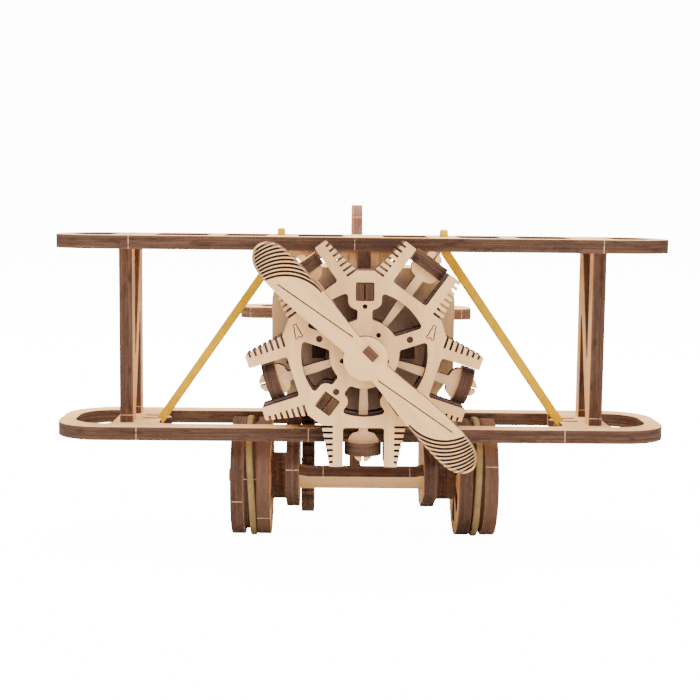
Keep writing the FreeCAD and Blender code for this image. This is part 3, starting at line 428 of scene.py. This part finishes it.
# each light bridge: axis index, position along it, and for a short one its place along X and reach
BRIDGES = {
    "upper_wing": ((0, -0.0690, 0, None), (0, -0.0028, 0, None), (0, 0.0705, 0, None)),
    "lower_wing": ((0, -0.0671, 0, None), (0, -0.0160, 0, None), (0, 0.0605, 0, None)),
    "left_wheel_discs": ((2, 0.0139, -0.0375, 0.0040), (2, 0.0083, -0.0295, 0.0040)),
    "left_wheel_core": ((2, 0.0206, 0, None),),
    "right_wheel_discs": ((2, 0.0250, 0.0395, 0.0040),),
    "left_side_plate": ((2, 0.0243, 0, None),),
    "left_interplane_strut": ((2, 0.0391, 0, None),),
    "right_interplane_strut": ((2, 0.0391, 0, None),),
    "tailplane": ((0, -0.0394, 0, None), (0, 0.0393, 0, None)),
    "undercarriage_spreader": ((0, -0.0115, 0, None), (0, 0.0145, 0, None)),
    "axle_gear": ((2, 0.0165, 0, None),),
    "fin": ((2, 0.0985, 0, None),),
}


def cut_of(node):
    """(sheet normal, grain direction) of a plywood piece."""
    if node.endswith(("_interplane_strut", "_side_plate")):
        return X_AXIS, Z_AXIS
    if node in Y_SHEETS:
        return Y_AXIS, (radial(BLADE_ANGLE) if node == "propeller" else Z_AXIS)
    if node in Z_SHEETS:
        return Z_AXIS, X_AXIS
    if node.startswith("piston_disc"):
        return radial(RADIAL_ANGLES[int(node[-1])]), Y_AXIS
    if node.startswith("piston_rod"):
        return Y_AXIS, radial(RADIAL_ANGLES[int(node[-1])])
    if node == "undercarriage_spreader":
        return Matrix.Rotation(math.radians(SPREADER_TILT), 3, "X") @ Z_AXIS, X_AXIS
    if node == "crank_bar":
        return radial(CRANK_ANGLE), Y_AXIS
    return X_AXIS, Y_AXIS


def middle_of(node, axis):
    """Mid-plane of the sheet along its normal; in a stack it is the first sheet's."""
    return min(vertex.co.dot(axis) for vertex in NODES[node].data.vertices) + PLY / 2


def set_material(node, material):
    mesh = NODES[node].data
    mesh.materials.clear()
    mesh.materials.append(material)


def dress_plywood():
    for seed, node in enumerate(sorted(NODES)):
        if "band" in node or node in DOWEL_NODES or node == PIN_NODE:
            continue
        axis, grain = cut_of(node)
        set_material(node, plywood(
            "plywood_" + node, axis, grain, middle_of(node, axis), seed,
            EDGE_TONE_AND_SHADING.get(node, 1), FACE_TONE_AND_SHADING.get(node, PLAIN_TONE), BRIDGES.get(node), SCORCH_AND_PAINTED_SHADE.get(node),
        ))


# ---- new pieces ----
def place_in_scene(name, data):
    piece = bpy.data.objects.new(name, data)
    bpy.context.scene.collection.objects.link(piece)
    return piece


def new_piece(name, points, faces, material, body, smooth):
    mesh = bpy.data.meshes.new(name)
    mesh.from_pydata([tuple(point) for point in points], [], faces)
    mesh.update()
    for polygon in mesh.polygons:
        polygon.use_smooth = smooth
    mesh.materials.append(material)
    piece = place_in_scene(name, mesh)
    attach(piece, body)
    return piece


# ---- elastic bands ----
def squared_off(angle, exponent):
    """Cosine and sine of an angle, moved from a circle towards a square."""
    round_values = (math.cos(angle), math.sin(angle))
    return tuple(math.copysign(abs(value) ** exponent, value) for value in round_values)


SECTION_POINTS = 16


def rounded_section(half_width, half_thickness, power):
    """Closed superellipse as (along the width, along the thickness)."""
    section = []
    for index in range(SECTION_POINTS):
        across, through = squared_off(2 * math.pi * (index + 0.5) / SECTION_POINTS, 2 / power)
        section.append((half_width * across, half_thickness * through))
    return section


def band_piece(node, stations, material, body):
    """Rubber band that stands for a node; each station is (point, width axis, thickness axis, section)."""
    points = []
    faces = []
    count = SECTION_POINTS
    for point, width_axis, thickness_axis, section in stations:
        points += [point + width_axis * across + thickness_axis * through for across, through in section]
    for ring in range(len(stations)):
        following = (ring + 1) % len(stations)
        for index in range(count):
            beside = (index + 1) % count
            faces.append((ring * count + index, ring * count + beside,
                          following * count + beside, following * count + index))
    piece = new_piece(node + "_rubber", points, faces, material, body, smooth=True)
    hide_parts(node)


WHEEL_CORE_RADIUS = 16.6 * MM
WHEEL_BAND_HALF_WIDTH = 1.0 * MM
WHEEL_BAND_SQUARENESS = 3.6                         # power of the section's superellipse
WHEEL_BAND_STATIONS = 120
WANDER = {"left": 0.85 * MM, "right": 0.45 * MM}    # how far the band strays from its middle
RIPPLE = 0.16 * MM
SLANT = math.radians(4.0)
PROUD = 0.05 * MM                                   # unevenness of the band's half thickness


def wheel_band(side, material):
    """Worn elastic band on the wheel's core that wanders a little from side to side."""
    node = side + "_wheel_band"
    low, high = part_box(node)
    middle_x = (low.x + high.x) / 2
    outer = (high.z - low.z) / 2
    thickness = outer - WHEEL_CORE_RADIUS
    outward = 1 if side == "right" else -1
    stations = []
    for index in range(WHEEL_BAND_STATIONS):
        angle = 2 * math.pi * index / WHEEL_BAND_STATIONS
        spoke = Vector((0, math.cos(angle), math.sin(angle)))
        drift = WANDER[side] * math.sin(angle + 0.25) + RIPPLE * math.sin(3 * angle + 0.8)
        slant = SLANT * math.sin(2 * angle + 0.5)
        half_thickness = thickness / 2 + PROUD * math.sin(5 * angle)
        section = rounded_section(WHEEL_BAND_HALF_WIDTH, half_thickness, WHEEL_BAND_SQUARENESS)
        centre = AXLE + spoke * (outer - thickness / 2 - PROUD)
        centre.x = middle_x + outward * drift
        width_axis = Vector((math.cos(slant), 0, 0)) + spoke * math.sin(slant) * 0.3
        stations.append((centre, width_axis.normalized(), spoke, section))
    band_piece(node, stations, material, "wheel_axle")


BRACE_FOOT = Vector((65.0 * MM, 32.0 * MM))     # (x, height) inside the loop's lower end
BRACE_WIDTH = 2.1 * MM
BRACE_THICKNESS = 0.8 * MM
BRACE_SPREAD = 0.28 * MM                        # how much each side widens between the gathered ends
BRACE_BEND = 1.6 * MM                           # reach of the bend each side of the rib's underside
BRACE_WAIST = 0.06                              # share by which the two runs draw together
BRACE_SQUARENESS = 4.0                          # power of the section's superellipse
LOOP_EXPONENT = 0.14                            # squares the loop's ends
TURN_POWER = 15                                 # keeps the outer side's turn to the loop's corners
BRACE_STATIONS = 200


def brace_line(bend_x, bend_z, reach):
    """Point and direction on the brace's middle line, at reach up from the bend; X counts outwards."""
    lean = math.atan2(BRACE_FOOT.x - bend_x, bend_z - BRACE_FOOT.y)
    slanted = Vector((-math.sin(lean), math.cos(lean)))
    upright = Vector((0, 1))
    corner = Vector((bend_x, bend_z))
    if reach <= -BRACE_BEND:
        return corner + slanted * reach, slanted
    if reach >= BRACE_BEND:
        return corner + upright * reach, upright
    part = (reach + BRACE_BEND) / (2 * BRACE_BEND)
    start = corner - slanted * BRACE_BEND
    finish = corner + upright * BRACE_BEND
    point = start * (1 - part) ** 2 + corner * 2 * part * (1 - part) + finish * part ** 2
    return point, (slanted * (1 - part) + upright * part).normalized()


def brace_band(side, material):
    """Stretched elastic loop from the lower wing's finger up through the upper wing's rib, over its peg."""
    node = side + "_brace_band"
    low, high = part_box(node)
    outward = 1 if side == "right" else -1
    inner_x = min(abs(low.x), abs(high.x)) + BRACE_WIDTH / 2
    bend_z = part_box("upper_wing")[0].z
    bottom = -(Vector((inner_x, bend_z)) - BRACE_FOOT).length - BRACE_THICKNESS / 2
    top = high.z - BRACE_THICKNESS / 2 - bend_z
    half_gap = (high.y - low.y - BRACE_THICKNESS) / 2
    middle_y = (low.y + high.y) / 2
    stations = []
    for index in range(BRACE_STATIONS):
        angle = 2 * math.pi * (index + 0.5) / BRACE_STATIONS
        along, aside = squared_off(angle, LOOP_EXPONENT)
        slack = 1 - along ** 2
        reach = (top + bottom) / 2 + along * (top - bottom) / 2
        place, direction = brace_line(inner_x, bend_z, reach)
        rise = Vector((outward * direction.x, 0, direction.y))
        width_axis = Vector((outward * direction.y, 0, -direction.x))
        run = aside * half_gap * (1 - BRACE_WAIST * slack)
        point = Vector((outward * place.x, middle_y + run, place.y))
        outer_side = (rise * along ** TURN_POWER + Y_AXIS * aside ** TURN_POWER).normalized()
        half_width = BRACE_WIDTH / 2 + BRACE_SPREAD * min(1, 3 * slack)
        section = rounded_section(half_width, BRACE_THICKNESS / 2, BRACE_SQUARENESS)
        stations.append((point, width_axis, outer_side, section))
    if side == "right":
        stations.reverse()      # the mirrored loop's faces look outwards again
    band_piece(node, stations, material, "airframe")


# ---- burnt marks on the engine's front plate, all measured from the crank's axis ----
MARK_LIFT = 0.02 * MM
PIN_RIM = {"angles": (18, 162, 234, 306), "distance": 13.5 * MM, "size": 0.80 * MM, "width": 0.26 * MM}
POST_RIM = {"angles": (90, 234, 306), "distance": 17.7 * MM, "size": 2.45 * MM, "width": 0.36 * MM}
BELLS = {18: -20, 162: 20}      # angle of each bell's place, and how far it leans
BELL_DISTANCE = 20.1 * MM
BELL_LINE = 0.32 * MM
BELL_HALF = (       # (across, along) in millimetres, from the neck down
    (0.50, 2.1), (0.46, 1.2), (0.74, 0.2), (0.84, -0.8), (1.15, -1.55), (0.70, -2.05), (0.34, -1.55),
)
RING_CORNERS = 28
SQUARE_STEPS = 6    # corners along each side of a square, so that the line keeps its width


def flat_ribbon(name, corners, width, material):
    """Closed line of a given width on the front star plate."""
    count = len(corners)
    points = []
    faces = []
    for index, corner in enumerate(corners):
        following = (index + 1) % count
        along = (corners[following] - corners[index - 1]).normalized()
        aside = Vector((-along.y, along.x)) * width / 2
        for edge in (corner - aside, corner + aside):
            points.append((ENGINE.x + edge.x, STAR_FACE - MARK_LIFT, ENGINE.z + edge.y))
        faces.append((2 * index, 2 * following, 2 * following + 1, 2 * index + 1))
    piece = new_piece(name, points, faces, material, "airframe", smooth=False)


def ring_corners(centre, radius):
    return [centre + plane_direction(360 * index / RING_CORNERS) * radius for index in range(RING_CORNERS)]


def square_corners(centre, direction, half):
    aside = Vector((-direction.y, direction.x))
    ends = [Vector(end) for end in ((1, 1), (-1, 1), (-1, -1), (1, -1))]
    corners = []
    for index, start in enumerate(ends):
        for step in range(SQUARE_STEPS):
            place = start.lerp(ends[(index + 1) % len(ends)], step / SQUARE_STEPS) * half
            corners.append(centre + direction * place.x + aside * place.y)
    return corners


def bell_corners(centre, lean):
    """Outline of a small bell: narrow neck, flared foot."""
    sideways = plane_direction(lean)
    upright = plane_direction(90 + lean)
    outline = list(BELL_HALF) + [(-across, along) for across, along in reversed(BELL_HALF)]
    return [centre + (sideways * across + upright * along) * MM for across, along in outline]


def engine_marks(material):
    for number, angle in enumerate(PIN_RIM["angles"], start=1):
        corners = ring_corners(plane_direction(angle) * PIN_RIM["distance"], PIN_RIM["size"])
        flat_ribbon("pin_rim_%d" % number, corners, PIN_RIM["width"], material)
    for number, angle in enumerate(POST_RIM["angles"], start=1):
        direction = plane_direction(angle)
        corners = square_corners(direction * POST_RIM["distance"], direction, POST_RIM["size"])
        flat_ribbon("post_rim_%d" % number, corners, POST_RIM["width"], material)
    for number, (angle, lean) in enumerate(BELLS.items(), start=1):
        corners = bell_corners(plane_direction(angle) * BELL_DISTANCE, lean)
        flat_ribbon("engraved_bell_%d" % number, corners, BELL_LINE, material)


# ---- studio, in metres, degrees and watts ----
CAMERA_LENS = 69.2          # millimetres, as Blender gives it
CAMERA_DISTANCE = 0.395     # in front of the wings' leading edge
CAMERA_X = -0.010
CAMERA_HEIGHT = 0.1034
CAMERA_YAW = -0.89
CAMERA_PITCH = 83.8
CAMERA_ROLL = 0.60
BACKDROP_STRENGTH = 14.0
WORLD_STRENGTH = 0.20
FLOOR_HALF = 6.0
WHITE = (1, 1, 1, 1)
FLOOR_GREY = (0.85, 0.85, 0.85, 1)
# name: place, target, size, power
LIGHTS = {
    "key": ((-0.45, -0.75, 1.0), (0, 0, 0.06), 0.55, 11.0),
    "front": ((0.25, -1.2, 0.40), (0, 0, 0.05), 0.7, 9.0),
    "top": ((0.0, 0.15, 1.1), (0, 0, 0.05), 0.8, 40.0),
}


def make_camera():
    data = bpy.data.cameras.new("camera")
    data.sensor_width = 36
    data.lens = CAMERA_LENS
    data.clip_start = 0.01
    piece = place_in_scene("camera", data)
    turn = Matrix.Identity(4)
    for angle, axis in ((CAMERA_YAW, "Z"), (CAMERA_PITCH, "X"), (CAMERA_ROLL, "Z")):
        turn = turn @ Matrix.Rotation(math.radians(angle), 4, axis)
    place = Vector((CAMERA_X, LEADING_EDGE - CAMERA_DISTANCE, CAMERA_HEIGHT))
    piece.matrix_world = Matrix.Translation(place) @ turn
    bpy.context.scene.camera = piece


def make_light(name, place, target, size, power):
    data = bpy.data.lights.new(name, "AREA")
    data.shape = "DISK"
    data.size = size
    data.energy = power
    piece = place_in_scene(name, data)
    piece.location = place
    piece.rotation_euler = (Vector(target) - Vector(place)).to_track_quat("-Z", "Y").to_euler()


def bright_when_seen(tree, lit, seen, output):
    """One shader for the picture's background, another for the light that reaches the object."""
    path = add(tree, "ShaderNodeLightPath")
    mix = add(tree, "ShaderNodeMixShader")
    link(tree, path.outputs["Is Camera Ray"], mix.inputs[0])
    link(tree, lit.outputs[0], mix.inputs[1])
    link(tree, seen.outputs[0], mix.inputs[2])
    link(tree, mix.outputs[0], output.inputs[0])


def make_world():
    world = bpy.data.worlds.new("world")
    bpy.context.scene.world = world
    world.use_nodes = True
    tree = world.node_tree
    tree.nodes.clear()
    soft = add(tree, "ShaderNodeBackground", Color=WHITE, Strength=WORLD_STRENGTH)
    bright = add(tree, "ShaderNodeBackground", Color=WHITE, Strength=BACKDROP_STRENGTH)
    bright_when_seen(tree, soft, bright, add(tree, "ShaderNodeOutputWorld"))


def make_floor():
    mesh = bpy.data.meshes.new("floor")
    corners = [(x * FLOOR_HALF, y * FLOOR_HALF, 0) for x, y in ((-1, -1), (1, -1), (1, 1), (-1, 1))]
    mesh.from_pydata(corners, [], [(0, 1, 2, 3)])
    material = bpy.data.materials.new("floor_white")
    material.use_nodes = True
    tree = material.node_tree
    tree.nodes.clear()
    diffuse = add(tree, "ShaderNodeBsdfDiffuse", Color=FLOOR_GREY)
    glow = add(tree, "ShaderNodeEmission", Color=WHITE, Strength=BACKDROP_STRENGTH)
    both = add(tree, "ShaderNodeAddShader")
    link(tree, diffuse.outputs[0], both.inputs[0])
    link(tree, glow.outputs[0], both.inputs[1])
    bright_when_seen(tree, diffuse, both, add(tree, "ShaderNodeOutputMaterial"))
    mesh.materials.append(material)
    floor = place_in_scene("floor", mesh)


make_camera()
make_world()
make_floor()
for name, settings in LIGHTS.items():
    make_light(name, *settings)

dress_plywood()
dowel_wood = dowel("dowel_wood", (0.60, 0.34, 0.15), (0.26, 0.13, 0.06), (60, 2200, 2200))
for node in DOWEL_NODES:
    set_material(node, dowel_wood)
pin_wood = dowel("pin_wood", (0.10, 0.058, 0.036), (0.030, 0.018, 0.012), (2200, 60, 2200))
set_material(PIN_NODE, pin_wood)
brace_rubber = elastic("brace_rubber", (0.69, 0.380, 0.0005), (0.56, 0.300, 0.0005), gloss=0.05)
wheel_rubber = elastic("wheel_rubber", (0.265, 0.172, 0.058), (0.195, 0.124, 0.042), gloss=0.2)
for side in ("left", "right"):
    brace_band(side, brace_rubber)
    wheel_band(side, wheel_rubber)
engine_marks(scorched("scorched_wood"))
